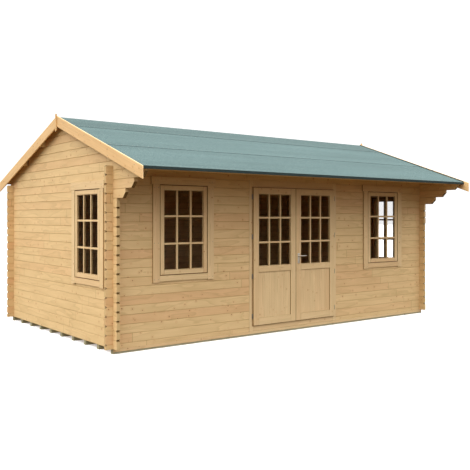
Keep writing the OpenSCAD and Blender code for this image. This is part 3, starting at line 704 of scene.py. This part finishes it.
def lever_part(x, y, z, out, length, radius):
    """Half of the lever: a neck out of the plate, a bend, and a grip with a rounded end. out is how far
    the neck goes, and length how far the grip reaches from the neck's middle."""
    steps = ((0.5, 0.8), (0.3, 0.6))      # rounded end: how far each step goes, and how thick it leaves it
    made = shape(bpy.ops.mesh.primitive_circle_add, vertices=24, radius=radius, fill_type="NGON",
                 location=(x, y, z), rotation=(math.pi / 2, 0, 0))
    bend = radius * 1.2
    side = math.copysign(1, out)
    bpy.ops.object.mode_set(mode="EDIT")
    bpy.ops.mesh.select_all(action="SELECT")
    bpy.ops.mesh.extrude_region_move(TRANSFORM_OT_translate={"value": (0, out - side * bend, 0)})
    bpy.ops.mesh.spin(steps=8, angle=side * math.pi / 2, center=(x + bend, y + out - side * bend, z),
                      axis=(0, 0, 1))
    bpy.ops.mesh.extrude_region_move(TRANSFORM_OT_translate={"value": (length - radius - bend, 0, 0)})
    for far, thick in steps:
        bpy.ops.mesh.extrude_region_move(TRANSFORM_OT_translate={"value": (radius * far, 0, 0)})
        bpy.ops.transform.resize(value=(1, thick, thick))
    bpy.ops.mesh.select_all(action="SELECT")
    bpy.ops.mesh.remove_doubles(threshold=0.00001)
    bpy.ops.mesh.normals_make_consistent(inside=False)
    bpy.ops.object.mode_set(mode="OBJECT")
    bpy.ops.object.shade_smooth_by_angle(angle=math.radians(40))
    return made


def build_handle():
    """The lever on both faces, and its plates with screws and a keyhole barrel."""
    collar_t, collar_eased = 0.006, 0.0015
    screw_in, screw_r = 0.012, 0.004
    keyhole_r, keyhole_t, keyhole_out, keyhole_down = 0.0085, 0.008, 0.002, 0.072
    across = (math.pi / 2, 0, 0)
    low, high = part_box("lever_handle")
    plate_low, plate_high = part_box("handle_plates")
    radius = (high.z - low.z) / 2
    x, z = low.x + radius, (low.z + high.z) / 2
    length = high.x - x
    leaf_low, leaf_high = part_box("right_door")
    front, back = leaf_low.y, leaf_high.y
    parts = [lever_part(x, front, z, low.y + radius - front, length, radius),
             lever_part(x, back, z, high.y - radius - back, length, radius)]
    for y, out in ((plate_low.y, -1), (plate_high.y, 1)):
        collar = shape(bpy.ops.mesh.primitive_cylinder_add, vertices=32, radius=radius * 1.6,
                       depth=collar_t, location=(x, y + out * collar_t / 2, z), rotation=across)
        ease(collar, collar_eased)
        bpy.ops.object.shade_smooth_by_angle(angle=math.radians(40))
        parts.append(collar)
    gather("lever_handle_grip", parts, "lever", "handle_steel", SATIN, "lever_handle")

    plates = []
    for y0, y1, out in ((plate_low.y, front, -1), (back, plate_high.y, 1)):
        plate = block((plate_low.x, y0, plate_low.z), (plate_high.x, y1, plate_high.z))
        ease(plate, 0.003, 3)
        plates.append(plate)
        face = y0 if out < 0 else y1
        for height in (plate_high.z - screw_in, plate_low.z + screw_in):
            plates.append(nail((x, face, height), (0, out, 0), screw_r))
        barrel = shape(bpy.ops.mesh.primitive_cylinder_add, vertices=32, radius=keyhole_r, depth=keyhole_t,
                       location=(x, face + out * keyhole_out, z - keyhole_down), rotation=across)
        ease(barrel, 0.001)
        plates.append(barrel)
    gather("handle_plates_pressed", plates, "right_leaf", "handle_steel", SATIN, "handle_plates")


# ---------------------------------------------------------------- roof and floor

def build_roof():
    """Boards down each slope, and bargeboards nailed at the gables."""
    count = 64
    barge_eased, nail_r, nails_down = 0.006, 0.005, (0.045, 0.120)
    first_nail, last_gap, pairs = 0.22, 0.18, 4
    for side, name in ((-1, "front"), (1, "back")):
        low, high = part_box(name + "_roof_boards")
        run = max(abs(low.y), abs(high.y))
        depth = high.z - low.z - run * SLOPE
        wide = (high.x - low.x) / count
        parts = [slope_board(low.x + i * wide, low.x + (i + 1) * wide, side, run, high.z, depth, BOLD_EASE)
                 for i in range(count)]
        gather(name + "_roof_boarding", parts, "cabin", "roof_wood", ROOF_WOOD, name + "_roof_boards")

    for edge in ("left", "right"):
        for side, name in ((-1, "front"), (1, "back")):
            node = edge + "_" + name + "_bargeboard"
            low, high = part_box(node)
            run = max(abs(low.y), abs(high.y))
            depth = high.z - low.z - run * SLOPE
            fascia = slope_board(low.x, high.x, side, run, high.z, depth, barge_eased)
            gather(edge + "_" + name + "_bargeboard_planed", [fascia], "cabin", "barge_wood", FASCIA, node)
            face = low.x if edge == "left" else high.x
            out = (-1, 0, 0) if edge == "left" else (1, 0, 0)
            heads = []
            for k in range(pairs):
                y = side * (first_nail + k * (run - first_nail - last_gap) / (pairs - 1))
                for down in nails_down:
                    heads.append(nail((face, y, high.z - abs(y) * SLOPE - down), out, nail_r))
            gather(edge + "_" + name + "_bargeboard_nails", heads, "cabin", "hinge_steel", ZINC)


def felt_upstands():
    """The felt turned up against the inner face of each bargeboard, to just under its top."""
    thick, stop = 0.003, 0.002
    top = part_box("left_front_bargeboard")[1].z - stop
    for side, name in ((-1, "front"), (1, "back")):
        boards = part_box(name + "_roof_boards")
        run = max(abs(boards[0].y), abs(boards[1].y))
        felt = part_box(name + "_felt")[1]
        for edge, hand in ((-1, "left_"), (1, "right_")):
            face = edge * felt.x
            x0, x1 = sorted((face, face - edge * thick))
            strip = slope_board(x0, x1, side, run, top, top - felt.z, thick / 6)
            gather(hand + name + "_felt_upstand", [strip], "cabin", "roof_felt", FELT)


def felt_nails():
    """Clout nails along the felt's laps and eaves. A place is given as the run out from the ridge, and
    the height that the sheet under the nails would have if it were carried up to the ridge."""
    spacing, from_edge, head_r = 0.075, 0.03, 0.006
    lap_run, eave_run, sheet = 1.367, 2.235, 0.0032
    low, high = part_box("ridge_felt_strip")
    felt_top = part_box("front_felt")[1].z
    half = high.x - from_edge
    count = int(2 * half / spacing) + 1
    lines = (((high.y - low.y) / 2 - from_edge, high.z), (lap_run, felt_top), (eave_run, felt_top - sheet))
    parts = []
    for side in (-1, 1):
        up = Vector((0, side * SLOPE, 1)).normalized()
        for run, height in lines:
            head = nail((-half, side * run, height - run * SLOPE), up, head_r)
            parts.append(row(head, count, (spacing, 0, 0)))
    gather("felt_nails", parts, "cabin", "hinge_steel", ZINC)


def build_floor():
    """Boards that run along the cabin."""
    low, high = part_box("floor_boards")
    count = 30
    wide = (high.y - low.y) / count
    parts = [board((low.x, low.y + i * wide, low.z), (high.x, low.y + (i + 1) * wide, high.z))
             for i in range(count)]
    gather("floor_boarding", parts, "cabin", "floor_wood", FLOOR_WOOD, "floor_boards")


def build_drip_boards():
    """Laths along the foot of the front wall that cover the top of the front bearer."""
    thick, drop, eased = 0.007, 0.037, 0.0015
    frame_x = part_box("door_frame")[1].x
    parts = [board((x0, FRONT_Y - thick, LOG_Z - drop), (x1, FRONT_Y, LOG_Z), eased)
             for x0, x1 in ((-GABLE_X, -frame_x), (-frame_x, frame_x), (frame_x, GABLE_X))]
    gather("front_drip_boards", parts, "cabin", "wall_logs", JOINERY)


# ---------------------------------------------------------------- studio

def build_studio():
    """A pale floor and backdrop that only the camera sees, soft light from the sky, a low sun on the
    gable side, and the camera."""
    floor_wide, backdrop_r = 400, 150
    backdrop_glow = 1.15                  # just over white, so that the edges of pieces stay clean
    sky_level, zenith_level = 0.31, 3.1   # the sky is brightest overhead
    bounce = (0.19, 0.14, 0.075, 1.0)     # light that comes back off the ground, warmer than the sky's
    sun_from, sun_level, sun_wide = Vector((-0.88, -0.02, 0.47)), 0.9, math.radians(50)
    scene = bpy.context.scene
    scene.view_settings.view_transform = "Standard"

    ground = shape(bpy.ops.mesh.primitive_plane_add, size=floor_wide, location=(0, 0, 0))
    ground.name = "studio_floor"
    made, tree = blank("matt_white_floor")
    skin = put(tree, "BsdfPrincipled", {"Base Color": (0.93, 0.93, 0.93, 1.0), "Roughness": 1.0,
                                        "Specular IOR Level": 0.0, "Emission Color": (1.0, 1.0, 1.0, 1.0),
                                        "Emission Strength": 0.3})
    put(tree, "OutputMaterial", {0: skin.outputs[0]})
    ground.data.materials.append(made)

    backdrop = shape(bpy.ops.mesh.primitive_uv_sphere_add, segments=48, ring_count=24, radius=backdrop_r,
                     location=(0, 0, 0))
    backdrop.name = "studio_backdrop"
    made, tree = blank("white_backdrop")
    glow = put(tree, "Emission", {"Color": (1.0, 1.0, 1.0, 1.0), "Strength": backdrop_glow})
    put(tree, "OutputMaterial", {0: glow.outputs[0]})
    backdrop.data.materials.append(made)
    for piece in (ground, backdrop):
        piece.visible_diffuse = False
        piece.visible_glossy = False
    backdrop.visible_shadow = False

    world = bpy.data.worlds.new("studio_sky")
    scene.world = world
    world.use_nodes = True
    tree = world.node_tree
    tree.nodes.clear()
    toward = put(tree, "TexCoord").outputs["Generated"]
    height = put(tree, "SeparateXYZ", {0: toward}).outputs[2]
    bright = put(tree, "MapRange", {0: height, 1: 0.0, 2: 1.0, 3: sky_level, 4: zenith_level}).outputs[0]
    above = put(tree, "MapRange", {0: height, 1: -0.05, 2: 0.02, 3: 0.0, 4: 1.0}).outputs[0]
    dome = put(tree, "VectorMath", {0: (1.0, 1.0, 1.0), "Scale": bright}, operation="SCALE").outputs[0]
    light = put(tree, "Mix", {0: above, MIX_A: bounce, MIX_B: dome}, data_type="RGBA").outputs[MIX_OUT]
    sky = put(tree, "Background", {"Color": light, "Strength": 1.0})
    put(tree, "OutputWorld", {0: sky.outputs[0]})

    sun = bpy.data.lights.new("sun", "SUN")
    sun.energy = sun_level
    sun.angle = sun_wide
    sun.color = (1.0, 0.96, 0.88)
    lamp = bpy.data.objects.new("sun", sun)
    lamp.rotation_euler = sun_from.to_track_quat("Z", "Y").to_euler()
    scene.collection.objects.link(lamp)

    eye = bpy.data.cameras.new("camera")
    eye.sensor_width = 36.0
    eye.lens = 52.04
    eye.shift_y = -0.037
    eye.clip_end = 500
    camera = bpy.data.objects.new("camera", eye)
    camera.location = (-6.785, -8.886, 1.653)
    camera.rotation_euler = (math.pi / 2, 0, math.radians(-37.43))
    scene.collection.objects.link(camera)
    scene.camera = camera


dress(LONG_LOGS, "front_wall_left", "front_wall_right", "front_wall_over_door", "back_wall")
dress(GABLE_LOGS, "left_gable_wall", "right_gable_wall")
dress(BEARER_WOOD, "floor_bearers")
dress(PURLIN_WOOD, "ridge_purlin", "front_purlins", "back_purlins")
dress(FELT, "front_felt", "back_felt")
dress(RIDGE_FELT, "ridge_felt_strip")
dress(FINIAL_WOOD, "gable_finials")
build_windows()
build_doors()
hinge_tips()
build_handle()
build_roof()
felt_upstands()
felt_nails()
build_floor()
build_drip_boards()
build_studio()
